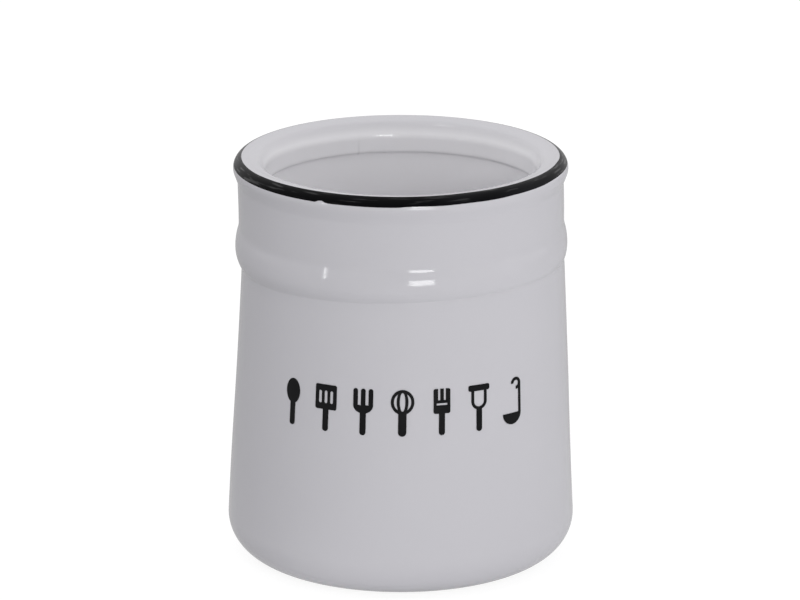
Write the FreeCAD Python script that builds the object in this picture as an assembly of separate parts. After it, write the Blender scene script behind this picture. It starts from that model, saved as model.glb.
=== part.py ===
"""Utensil crock: a slip-cast stoneware pot with fired-on glaze coats and a printed row of kitchen tools.

Millimetres and degrees, +Z up. The origin is the centre of the foot, on the surface that the pot
stands on, and the middle of the printed row faces -Y.

The pot is a turned shape, so its cast body is one section in the X-Z half plane, revolved about Z.
Each glaze coat is a zone of the skin that lies on that section, and each printed figure is a film
of enamel that lies on the glaze of the tapered wall.
"""

import FreeCAD, Part
import math
import os

from FreeCAD import Vector

# Overall, over the glaze. Every other size is of the bare clay, unless it says otherwise
HEIGHT = 160.0
RIM_DIAMETER = 130.4

# Rolled rim, standing out of the collar on a straight flare
RIM_ROUND = 4.2
RIM_OVERHANG = 1.7
FLARE_ANGLE = 20.5
FLARE_ROUND = 4.4

# Lip that slopes in and rounds over into the throat, and the step under it
LIP_SLOPE = 12.0
LIP_ROUND = 5.0
THROAT_DEPTH = 11.4
THROAT_EDGE_ROUND = 0.9
UNDERCUT = 4.1
UNDERCUT_ROUND = 1.6

# Bead round the shoulder, with a soft valley above it and a crisp crease below
BEAD_DROP = 34.4
BEAD_RISE = 1.4
BEAD_CROWN_ROUND = 21.8
BEAD_VALLEY_ROUND = 10.8
CREASE_ANGLE = 21.0
CREASE_ROUND = 2.4

# Tapered wall, whose line is set in from the collar at the middle of the bead
WALL = 5.5
WALL_TAPER = 2.98
NECK_SET_IN = 0.86
SHOULDER_ROUND = 40.0

# Floor, rounded base and the flat foot ring round a shallow recess
FLOOR = 7.0
FLOOR_ROUND = 9.0
BASE_ROUND = 14.9
FOOT_WIDTH = 8.0
FOOT_EDGE_ROUND = 0.9
RECESS_DEPTH = 2.6
RECESS_ROUND = 1.2

# Coats: white glaze down to the bare foot, and a black band between two angles of the rolled rim
GLAZE = 0.4
BARE_FOOT_HEIGHT = 1.1
BAND_TOP_ANGLE = 80.0
BAND_LOW_ANGLE = 18.0

# Printed row of kitchen tools, each a head on a handle, with a hair of clearance under the film
FILM = 0.15
FILM_CLEARANCE = 0.02
ROW_Z = 75.6
FIGURE_HEIGHT = 18.4
FIGURE_PITCH = 15.2
HEAD_WIDTH = 9.0
HEAD_LENGTH = 9.8
HEAD_CORNER_ROUND = 0.8
HANDLE_WIDTH = 2.4
GRIP_WIDTH = 3.2
LINE = 1.2
BRISTLE_GAP = 0.8

OUT = "parts"
TINY = 1e-6

# Places worked out from those sizes
rim_radius = RIM_DIAMETER / 2 - GLAZE
crest_z = HEIGHT - GLAZE
collar_radius = rim_radius - RIM_OVERHANG
inner_radius = collar_radius - WALL
throat_radius = inner_radius - UNDERCUT
throat_z = crest_z - THROAT_DEPTH
bead_z = crest_z - BEAD_DROP
taper = math.tan(math.radians(WALL_TAPER))
neck_radius = collar_radius - NECK_SET_IN
base_radius = neck_radius + taper * bead_z
base_reach = BASE_ROUND / math.tan(math.radians(90 - WALL_TAPER) / 2)
foot_inner_radius = base_radius - base_reach - FOOT_WIDTH
floor_z = RECESS_DEPTH + FLOOR


def at(r, z):
    """A point of the section, at radius r and height z."""
    return Vector(r, 0, z)


def ray(angle):
    """A unit vector of the section plane, at an angle from straight outwards."""
    return at(math.cos(math.radians(angle)), math.sin(math.radians(angle)))


def tangent_corner(centre, radius, low_angle, high_angle):
    """Where the two lines meet that touch a circle at two angles."""
    spread = math.radians(high_angle - low_angle)
    return centre + ray((low_angle + high_angle) / 2) * (radius / math.cos(spread / 2))


def meeting(point, angle, line_point, line_angle):
    """Where a line through a point, at an angle, meets another such line."""
    across = ray(line_angle + 90)
    along = ray(angle)
    return point + along * ((line_point - point).dot(across) / along.dot(across))


def rounded_outline(corners):
    """A closed face from (point, round) corners, each cut by a tangent arc of that radius."""
    count = len(corners)
    arcs = []
    for i, (point, radius) in enumerate(corners):
        back = (corners[i - 1][0] - point).normalize()
        ahead = (corners[(i + 1) % count][0] - point).normalize()
        half_angle = back.getAngle(ahead) / 2
        reach = radius / math.tan(half_angle)
        depth = radius / math.sin(half_angle) - radius
        crown = point + (back + ahead).normalize() * depth
        arcs.append((point + back * reach, crown, point + ahead * reach))
    edges = []
    for i, (start, crown, end) in enumerate(arcs):
        following = arcs[(i + 1) % count][0]
        if (end - start).Length > TINY:
            edges.append(Part.Arc(start, crown, end).toShape())
        if (following - end).Length > TINY:
            edges.append(Part.LineSegment(end, following).toShape())
    return Part.Face(Part.Wire(edges))


def polygon(*points):
    """A closed face with straight sides."""
    return rounded_outline([(point, 0) for point in points])


def rectangle(left, low, right, high):
    """A closed upright rectangle."""
    return polygon(at(left, low), at(right, low), at(right, high), at(left, high))


def turned(section):
    """The solid that a section of the half plane sweeps in one full turn about Z."""
    return section.revolve(Vector(0, 0, 0), Vector(0, 0, 1), 360).Solids[0]


def rim_centre():
    """The middle of the rolled rim's round."""
    return at(rim_radius - RIM_ROUND, crest_z - RIM_ROUND)


def rim_corners():
    """Where the collar meets the flare, the flare the lip's slope, and the slope the throat."""
    slope_angle = 90 + LIP_SLOPE
    crest = tangent_corner(rim_centre(), RIM_ROUND, -FLARE_ANGLE, slope_angle)
    return (
        meeting(crest, 90 - FLARE_ANGLE, at(collar_radius, 0), 90),
        crest,
        meeting(crest, slope_angle + 90, at(throat_radius, 0), 90),
    )


def bead_corners():
    """The crease under the bead, the bead's apex before rounding, and the valley over it."""
    centre = at(collar_radius + BEAD_RISE - BEAD_CROWN_ROUND, bead_z)
    valley_turn = 1 - BEAD_RISE / (BEAD_CROWN_ROUND + BEAD_VALLEY_ROUND)
    valley_angle = math.degrees(math.acos(valley_turn))
    apex = tangent_corner(centre, BEAD_CROWN_ROUND, -CREASE_ANGLE, valley_angle)
    return (
        meeting(apex, 90 - CREASE_ANGLE, at(base_radius, 0), 90 + WALL_TAPER),
        apex,
        meeting(apex, 90 + valley_angle, at(collar_radius, 0), 90),
    )


def clay_section():
    """The half section of the cast pot, from the foot up the outside and down the inside."""
    crease, apex, valley = bead_corners()
    flare_corner, crest_corner, lip_corner = rim_corners()
    shoulder_z = bead_z - NECK_SET_IN / taper
    floor_radius = base_radius - taper * floor_z - WALL
    return rounded_outline([
        (at(foot_inner_radius, 0), FOOT_EDGE_ROUND),
        (at(base_radius, 0), BASE_ROUND),
        (crease, CREASE_ROUND),
        (apex, BEAD_CROWN_ROUND),
        (valley, BEAD_VALLEY_ROUND),
        (flare_corner, FLARE_ROUND),
        (crest_corner, RIM_ROUND),
        (lip_corner, LIP_ROUND),
        (at(throat_radius, throat_z), THROAT_EDGE_ROUND),
        (at(inner_radius, throat_z), UNDERCUT_ROUND),
        (at(inner_radius, shoulder_z), SHOULDER_ROUND),
        (at(floor_radius, floor_z), FLOOR_ROUND),
        (at(0, floor_z), 0),
        (at(0, RECESS_DEPTH), 0),
        (at(foot_inner_radius, RECESS_DEPTH), RECESS_ROUND),
    ])


def coated(section, coat):
    """The section with a coat of even thickness all round, kept on its own side of the axis."""
    return section.makeOffset2D(coat).common(rectangle(0, -HEIGHT, HEIGHT, 2 * HEIGHT))


def glaze_sections(clay):
    """The skin of glaze on the clay's section, as the zones that are coated apart."""
    skin = coated(clay, GLAZE).cut(clay)
    reach = 2 * RIM_ROUND
    band_angles = (BAND_LOW_ANGLE, (BAND_LOW_ANGLE + BAND_TOP_ANGLE) / 2, BAND_TOP_ANGLE)
    band_zone = polygon(rim_centre(), *[rim_centre() + ray(angle) * reach for angle in band_angles])
    bare_zone = rectangle(foot_inner_radius - 2 * GLAZE, -2 * GLAZE, 2 * base_radius, BARE_FOOT_HEIGHT)
    white = skin.cut([band_zone, bare_zone]).Faces
    base, inner, outer = sorted(white, key=lambda zone: zone.CenterOfMass.x)
    return {
        "outer_glaze": outer,
        "rim_band": skin.common(band_zone),
        "inner_glaze": inner,
        "base_glaze": base,
    }


# Printed figures are upright stamps, drawn about the middle of the row and pressed out through the wall
row_radius = neck_radius + taper * (bead_z - ROW_Z) + GLAZE
half_figure = FIGURE_HEIGHT / 2
half_head = HEAD_LENGTH / 2
head_low = half_figure - HEAD_LENGTH
head_middle = half_figure - half_head


def stamp(face):
    """A flat outline as a stamp that reaches from the axis past the front of the wall."""
    return face.extrude(Vector(0, -2 * row_radius, 0))


def joined(first, *others):
    """One stamp from stamps that overlap."""
    return first.fuse(list(others)).removeSplitter()


def oval(u, v, half_width, half_height):
    """An upright oval about a point."""
    outline = Part.Circle(Vector(0, 0, 0), Vector(0, -1, 0), 1).toShape()
    stretch = FreeCAD.Matrix()
    stretch.scale(half_width, 1, half_height)
    stretch.move(at(u, v))
    return stamp(Part.Face(Part.Wire(outline.transformGeometry(stretch))))


def disc(u, v, radius):
    """A disc about a point."""
    return stamp(Part.Face(Part.Wire(Part.Circle(at(u, v), Vector(0, -1, 0), radius).toShape())))


def block(left, low, right, high):
    """An upright rectangle."""
    return stamp(rectangle(left, low, right, high))


def plate(low, high, width, corner_round):
    """An upright rectangle with rounded corners, across the middle of a figure."""
    half = width / 2
    corners = (at(-half, low), at(half, low), at(half, high), at(-half, high))
    return stamp(rounded_outline([(corner, corner_round) for corner in corners]))


def rod(u, low, high, width):
    """An upright bar with half-round ends."""
    half = width / 2
    straight = block(u - half, low + half, u + half, high - half)
    return joined(straight, disc(u, low + half, half), disc(u, high - half, half))


def handle():
    """The handle that most tools share, running up into the head."""
    return rod(0, -half_figure, head_low + HANDLE_WIDTH, HANDLE_WIDTH)


def spoon():
    """An oval bowl."""
    return joined(handle(), oval(0, head_middle, HEAD_WIDTH / 2 - LINE, half_head))


def turner():
    """A blade with three slots."""
    margin = 2 * LINE
    blade = plate(head_low, half_figure, HEAD_WIDTH, HEAD_CORNER_ROUND)
    slots = [rod(u, head_low + margin, half_figure - margin, LINE) for u in (-margin, 0, margin)]
    return joined(handle(), blade).cut(slots)


def fork():
    """Three tines on a rounded root."""
    width = HEAD_WIDTH - LINE
    tine = (width - 2 * LINE) / 3
    tip_v = half_figure - tine / 2
    root_depth = HEAD_LENGTH / 3
    root_high = head_low + root_depth
    above = block(-HEAD_WIDTH, root_high, HEAD_WIDTH, FIGURE_HEIGHT)
    shapes = [oval(0, root_high, width / 2, root_depth).cut(above)]
    for u in (-tine - LINE, 0, tine + LINE):
        shapes += [block(u - tine / 2, root_high, u + tine / 2, tip_v), disc(u, tip_v, tine / 2)]
    return joined(handle(), *shapes)


def hoop(half_width):
    """An upright wire loop as long as a head."""
    opening = oval(0, head_middle, half_width - LINE, half_head - LINE)
    return oval(0, head_middle, half_width, half_head).cut(opening)


def whisk():
    """Two nested wire loops on a thick grip."""
    grip = rod(0, -half_figure, head_low + LINE, GRIP_WIDTH)
    return joined(grip, hoop(HEAD_WIDTH / 2), hoop(HEAD_WIDTH / 4))


def brush():
    """Parted bristles, bound by a ferrule."""
    width = HEAD_WIDTH - 2 * LINE
    ferrule_high = head_low + HEAD_LENGTH / 3
    bristles_low = ferrule_high + BRISTLE_GAP + LINE
    head = plate(head_low, half_figure, width, HEAD_CORNER_ROUND)
    binding = block(LINE - width / 2, ferrule_high, width / 2 - LINE, ferrule_high + BRISTLE_GAP)
    half_gap = BRISTLE_GAP / 2
    thirds = (-width / 6, width / 6)
    partings = [block(u - half_gap, bristles_low, u + half_gap, FIGURE_HEIGHT) for u in thirds]
    return joined(handle(), head).cut([binding, *partings])


def masher():
    """A flat plate on a bent wire."""
    half_wire = HEAD_WIDTH / 2 - LINE
    wire_high = half_figure + half_wire
    wire = rod(0, head_low, wire_high, 2 * half_wire)
    opening = rod(0, head_low + LINE, wire_high, 2 * (half_wire - LINE))
    above = block(-HEAD_WIDTH, half_figure - LINE, HEAD_WIDTH, FIGURE_HEIGHT)
    grip = rod(0, -half_figure, head_low + LINE, HANDLE_WIDTH)
    foot = plate(half_figure - 2 * LINE, half_figure, HEAD_WIDTH, HEAD_CORNER_ROUND)
    return joined(grip, wire.cut([opening, above]), foot)


def ladle():
    """A half-round bowl, hung from a thin stem that ends in a hook."""
    bowl_radius = HEAD_WIDTH / 2
    bowl_high = bowl_radius - half_figure
    hook_radius = HANDLE_WIDTH
    hook_u = bowl_radius - hook_radius
    hook_v = half_figure - hook_radius
    above = block(-HEAD_WIDTH, bowl_high, HEAD_WIDTH, FIGURE_HEIGHT)
    bowl = disc(0, bowl_high, bowl_radius).cut(above)
    stem = block(bowl_radius - LINE, bowl_high - LINE, bowl_radius, hook_v)
    eye = disc(hook_u, hook_v, hook_radius - LINE)
    mouth = block(-HEAD_WIDTH, hook_v - hook_radius, hook_u, hook_v)
    hook = disc(hook_u, hook_v, hook_radius).cut([eye, mouth])
    return joined(bowl, stem, hook)


FIGURES = {
    "decal_spoon": spoon,
    "decal_turner": turner,
    "decal_fork": fork,
    "decal_whisk": whisk,
    "decal_brush": brush,
    "decal_masher": masher,
    "decal_ladle": ladle,
}


def film_ring(clay):
    """A thin ring of enamel on the glaze of the wall, taller than the printed row."""
    row_zone = rectangle(throat_radius, ROW_Z - FIGURE_HEIGHT, HEIGHT, ROW_Z + FIGURE_HEIGHT)
    seat = GLAZE + FILM_CLEARANCE
    return turned(coated(clay, seat + FILM).cut(coated(clay, seat)).common(row_zone))


def printed(figure, place, ring):
    """A figure laid on the wall, at a place counted in pitches from the middle of the row."""
    stood = figure.translated(at(0, ROW_Z))
    stood.rotate(Vector(0, 0, 0), Vector(0, 0, 1), math.degrees(place * FIGURE_PITCH / row_radius))
    return stood.common(ring)


def main():
    """Builds every piece and writes a file for each."""
    os.makedirs(OUT, exist_ok=True)
    clay = clay_section()
    pieces = {"clay_body": turned(clay)}
    for name, section in glaze_sections(clay).items():
        pieces[name] = turned(section)
    ring = film_ring(clay)
    middle = (len(FIGURES) - 1) / 2
    for i, (name, draw) in enumerate(FIGURES.items()):
        pieces[name] = printed(draw(), i - middle, ring)
    for name, shape in pieces.items():
        shape.exportStep(os.path.join(OUT, name + ".step"))
        print(f"{name:13s} solids {len(shape.Solids)} valid {shape.isValid()} volume {shape.Volume:10.1f}")


main()
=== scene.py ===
"""A glazed ceramic utensil crock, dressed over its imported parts.

The crock is one turned shape. Its half section is worked out in millimetres, and a node tree turns it
about Z, once for the clay and once for each coat of glaze. A second tree wraps the printed tool
shapes on the wall. The origin is the centre of the foot, +Z is up and the printed row faces -Y.
"""

import logging
import math
from dataclasses import dataclass
from enum import Enum
from typing import Any, Callable, Sequence, Union

import bmesh
import bpy
from mathutils import Matrix, Vector

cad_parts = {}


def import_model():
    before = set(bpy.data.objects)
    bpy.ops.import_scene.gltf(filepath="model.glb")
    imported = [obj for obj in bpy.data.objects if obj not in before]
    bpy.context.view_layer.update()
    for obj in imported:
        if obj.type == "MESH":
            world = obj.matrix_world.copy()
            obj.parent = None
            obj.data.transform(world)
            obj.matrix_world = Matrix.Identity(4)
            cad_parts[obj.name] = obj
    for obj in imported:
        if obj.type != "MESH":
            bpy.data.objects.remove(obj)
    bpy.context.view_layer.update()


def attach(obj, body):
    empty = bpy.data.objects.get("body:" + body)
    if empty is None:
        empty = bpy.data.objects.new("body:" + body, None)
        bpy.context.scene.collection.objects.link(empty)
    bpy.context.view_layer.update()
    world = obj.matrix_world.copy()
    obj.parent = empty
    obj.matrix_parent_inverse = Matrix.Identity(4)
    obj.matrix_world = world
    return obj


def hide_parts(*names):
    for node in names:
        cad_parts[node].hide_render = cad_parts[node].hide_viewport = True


LOG = logging.getLogger("crock")
MM = 0.001
BODY = "root"

# How finely the section is followed, in degrees and millimetres
ARC_STEP = 3.5
ARC_CHORD = 0.22
ARC_LEAST = 4
RUN_STEP = 3.5
RUN_ENDS = (0.3, 1.2)
RUN_LEAST = 0.001
CUT_HALVINGS = 40

# A place further from the rim's middle than this many of its rounds isn't on the rolled rim
RIM_REACH = 1.5
OFF_RIM = -180.0

# Where a Mix node keeps its factor, its two colours and its result, and how far apart nodes stand
MIX_INPUTS = (0, 6, 7)
MIX_OUTPUT = 2
NODE_GAP = 180

# Where most values of a soft noise lie
NOISE_RANGE = (0.3, 0.7)

Material = bpy.types.Material
Mesh = bpy.types.Mesh
Node = bpy.types.Node
Piece = bpy.types.Object
Socket = bpy.types.NodeSocket
Tree = bpy.types.NodeTree
Colour = tuple[float, float, float, float]
Corner = tuple[Vector, float]
Line = Sequence[tuple[float, float]]
Loop = list[Vector]
Feed = Union[Socket, float, int, str, Sequence[float]]


class Slot(Enum):
    """The material slots."""

    CLAY = "bare_clay"
    WHITE = "white_glaze"
    BLACK = "black_glaze"
    ENAMEL = "black_enamel"


class Coat(Enum):
    """The coats of white glaze."""

    OUTER = "outer_glaze"
    INNER = "inner_glaze"
    BASE = "base_glaze"


class Handle(Enum):
    """How a curve runs between its points."""

    STRAIGHT = "VECTOR"
    SMOOTH = "AUTO_CLAMPED"


class Tool(Enum):
    """The printed tool shapes, from left to right along the row."""

    SPOON = "decal_spoon"
    TURNER = "decal_turner"
    FORK = "decal_fork"
    WHISK = "decal_whisk"
    BRUSH = "decal_brush"
    MASHER = "decal_masher"
    LADLE = "decal_ladle"


class Wiring:
    """Adds nodes to a node tree and joins them."""

    def __init__(self, tree: Tree) -> None:
        """Keeps the tree that the nodes go into."""
        self.tree = tree

    def add(self, kind: str, feeds: dict[Any, Feed] | None = None, **settings: Any) -> Node:
        """Adds a node.

        Args:
            kind: The node's type name.
            feeds: A value or an output socket for each input, by its name or number.
            **settings: The node's own options.

        Returns:
            The new node.
        """
        node = self.tree.nodes.new(kind)
        node.location.x = NODE_GAP * len(self.tree.nodes)
        for name, value in settings.items():
            setattr(node, name, value)
        self.feed(node, feeds or {})
        return node

    def out(self, kind: str, feeds: dict[Any, Feed] | None = None, **settings: Any) -> Socket:
        """The first output of a new node."""
        return self.add(kind, feeds, **settings).outputs[0]

    def feed(self, node: Node, feeds: dict[Any, Feed]) -> None:
        """Sets a node's inputs.

        Args:
            node: The node.
            feeds: A value or an output socket for each input, by its name or number.
        """
        for key, value in feeds.items():
            if isinstance(value, Socket):
                self.tree.links.new(value, node.inputs[key])
            else:
                node.inputs[key].default_value = value

    def math(self, operation: str, *values: Feed) -> Socket:
        """The result of a sum on numbers."""
        return self.out("ShaderNodeMath", dict(enumerate(values)), operation=operation)

    def times(self, first: Feed, second: Feed) -> Socket:
        """The product of two numbers."""
        return self.math("MULTIPLY", first, second)

    def plus(self, first: Feed, second: Feed) -> Socket:
        """The sum of two numbers."""
        return self.math("ADD", first, second)

    def minus(self, first: Feed, second: Feed) -> Socket:
        """The first number less the second."""
        return self.math("SUBTRACT", first, second)

    def times_plus(self, first: Feed, second: Feed, more: Feed) -> Socket:
        """The product of two numbers, and some more."""
        return self.math("MULTIPLY_ADD", first, second, more)

    def length(self, x: Feed, y: Feed) -> Socket:
        """The length of a flat arm."""
        return self.math("SQRT", self.times_plus(x, x, self.times(y, y)))

    def vector(self, operation: str, *values: Feed) -> Socket:
        """The result of a sum on vectors."""
        return self.out("ShaderNodeVectorMath", dict(enumerate(values)), operation=operation)

    def scaled(self, vector: Feed, factor: Feed) -> Socket:
        """A vector times a number."""
        feeds = {"Vector": vector, "Scale": factor}
        return self.out("ShaderNodeVectorMath", feeds, operation="SCALE")

    def split(self, vector: Feed) -> list[Socket]:
        """The three numbers of a vector."""
        return list(self.add("ShaderNodeSeparateXYZ", {"Vector": vector}).outputs)

    def joined(self, x: Feed, y: Feed, z: Feed) -> Socket:
        """A vector from three numbers."""
        return self.out("ShaderNodeCombineXYZ", {"X": x, "Y": y, "Z": z})

    def radius(self, position: Feed) -> Socket:
        """A point's distance from the axis."""
        x, y, _ = self.split(position)
        return self.length(x, y)

    def outwards(self, position: Feed) -> Socket:
        """The level direction from the axis to a point."""
        x, y, _ = self.split(position)
        return self.vector("NORMALIZE", self.joined(x, y, 0.0))

    def ranged(self, value: Feed, low: float, high: float, start: float, end: float) -> Socket:
        """A number eased from one range to another and held at its ends."""
        feeds = dict(enumerate((value, low, high, start, end)))
        return self.out("ShaderNodeMapRange", feeds, interpolation_type="SMOOTHSTEP")

    def curve(self, value: Feed, points: Line, handle: Handle) -> Socket:
        """A number that follows a line.

        Args:
            value: Where on the line, from 0 to 1.
            points: The line's points, from 0 to 1 both ways.
            handle: How the line runs from one point to the next.

        Returns:
            The line's height there.
        """
        node = self.add("ShaderNodeFloatCurve", {"Value": value})
        line = node.mapping.curves[0]
        line.points[0].location, line.points[1].location = points[0], points[-1]
        for point in points[1:-1]:
            line.points.new(*point)
        for point in line.points:
            point.handle_type = handle.value
        node.mapping.update()
        return node.outputs[0]

    def blend(self, factor: Feed, first: Feed, second: Feed) -> Socket:
        """A colour between two colours."""
        feeds = dict(zip(MIX_INPUTS, (factor, first, second)))
        return self.add("ShaderNodeMix", feeds, data_type="RGBA").outputs[MIX_OUTPUT]

    def between(self, share: Feed, first: Feed, second: Feed) -> Socket:
        """A shader between two shaders."""
        return self.out("ShaderNodeMixShader", dict(enumerate((share, first, second))))


@dataclass(frozen=True)
class Grain:
    """A soft random pattern from 0 to 1, the same on every run."""

    scale: float
    detail: float
    seed: float

    def at(self, wiring: Wiring, place: Feed) -> Socket:
        """The pattern's value at a place."""
        feeds = {"Vector": place, "W": self.seed, "Scale": self.scale, "Detail": self.detail}
        return wiring.out("ShaderNodeTexNoise", feeds, noise_dimensions="4D")


@dataclass(frozen=True)
class CrockSizes:
    """Sizes of the bare clay in millimetres and degrees. Height and rim diameter are over the glaze."""

    height: float = 160.0
    rim_diameter: float = 130.4
    rim_round: float = 4.2
    rim_overhang: float = 1.7
    flare_angle: float = 20.5
    flare_round: float = 4.4
    lip_slope: float = 12.0
    lip_round: float = 5.0
    throat_depth: float = 11.4
    throat_edge_round: float = 0.9
    undercut: float = 4.1
    undercut_round: float = 1.6
    bead_drop: float = 34.4
    bead_rise: float = 1.4
    bead_crown_round: float = 21.8
    bead_valley_round: float = 10.8
    crease_angle: float = 21.0
    crease_round: float = 2.4
    wall: float = 5.5
    wall_taper: float = 2.98
    neck_set_in: float = 0.86
    shoulder_round: float = 40.0
    floor: float = 7.0
    floor_round: float = 9.0
    base_round: float = 14.9
    foot_width: float = 8.0
    foot_edge_round: float = 0.9
    recess_depth: float = 2.6
    recess_round: float = 1.2
    glaze: float = 0.4
    bare_foot_height: float = 1.1
    band_top_angle: float = 80.0
    band_low_angle: float = 18.0

    @property
    def rim_radius(self) -> float:
        """Radius of the clay at the rim's widest place."""
        return self.rim_diameter / 2 - self.glaze

    @property
    def crest_z(self) -> float:
        """Height of the clay's crest."""
        return self.height - self.glaze

    @property
    def rim_centre(self) -> Vector:
        """Middle of the rolled rim's round."""
        return Vector((self.rim_radius - self.rim_round, self.crest_z - self.rim_round))

    @property
    def collar_radius(self) -> float:
        """Radius of the collar between the rim and the bead."""
        return self.rim_radius - self.rim_overhang

    @property
    def bead_z(self) -> float:
        """Height of the bead's crown."""
        return self.crest_z - self.bead_drop

    @property
    def taper(self) -> float:
        """Growth of the wall's radius for each millimetre down."""
        return math.tan(math.radians(self.wall_taper))

    @property
    def neck_radius(self) -> float:
        """Radius of the wall's line at the height of the bead."""
        return self.collar_radius - self.neck_set_in

    @property
    def base_radius(self) -> float:
        """Radius of the wall's line at the foot."""
        return self.neck_radius + self.taper * self.bead_z

    def glazed_radius(self, z: float) -> float:
        """Radius of the glazed wall at a height."""
        return self.neck_radius + self.taper * (self.bead_z - z) + self.glaze


@dataclass(frozen=True)
class Station:
    """A place on the clay's section, with the direction out of the clay there."""

    place: Vector
    out: Vector

    def lifted(self, coat: float) -> Vector:
        """The point that far out of the clay."""
        return self.place + self.out * coat

    def towards(self, other: "Station", share: float) -> "Station":
        """The station that share of the way to another."""
        return Station(self.place.lerp(other.place, share), self.out.lerp(other.out, share).normalized())


def ray(angle: float) -> Vector:
    """The unit vector of the section at an angle from straight outwards."""
    return Vector((math.cos(math.radians(angle)), math.sin(math.radians(angle))))


def turned_by(vector: Vector, angle: float) -> Vector:
    """A vector of the section, turned by an angle in radians."""
    return Matrix.Rotation(angle, 2) @ vector


def straight_run(start: Vector, end: Vector) -> list[Station]:
    """Stations along a straight run, closer together near its ends.

    Args:
        start: The first place, which is kept.
        end: The last place, which is left to the next run.

    Returns:
        The stations in order.
    """
    length = (end - start).length
    if length < RUN_LEAST:
        return []
    ahead = (end - start) / length
    out = Vector((ahead.y, -ahead.x))
    ends = [d for d in RUN_ENDS if d < length / 2]
    first = ends[-1] if ends else 0.0
    steps = max(1, math.ceil((length - 2 * first) / RUN_STEP))
    middle = [first + (length - 2 * first) * i / steps for i in range(steps + 1)]
    places = sorted({0.0, *ends, *middle, *[length - d for d in ends]})
    return [Station(start + ahead * d, out) for d in places if d < length - RUN_LEAST]


def round_run(centre: Vector, start: Vector, ahead: Vector, after: Vector) -> list[Station]:
    """Stations along an arc between two directions of travel.

    Args:
        centre: The middle of the arc.
        start: The first place, which is kept.
        ahead: The direction of travel at the start.
        after: The direction of travel at the end, which is left to the next run.

    Returns:
        The stations in order.
    """
    turn = math.atan2(ahead.x * after.y - ahead.y * after.x, ahead.dot(after))
    length = abs(turn) * (start - centre).length
    steps = max(ARC_LEAST, min(math.ceil(abs(math.degrees(turn)) / ARC_STEP), math.ceil(length / ARC_CHORD)))
    out = Vector((ahead.y, -ahead.x))
    angles = [turn * i / steps for i in range(steps)]
    return [Station(centre + turned_by(start - centre, a), turned_by(out, a)) for a in angles]


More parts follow.
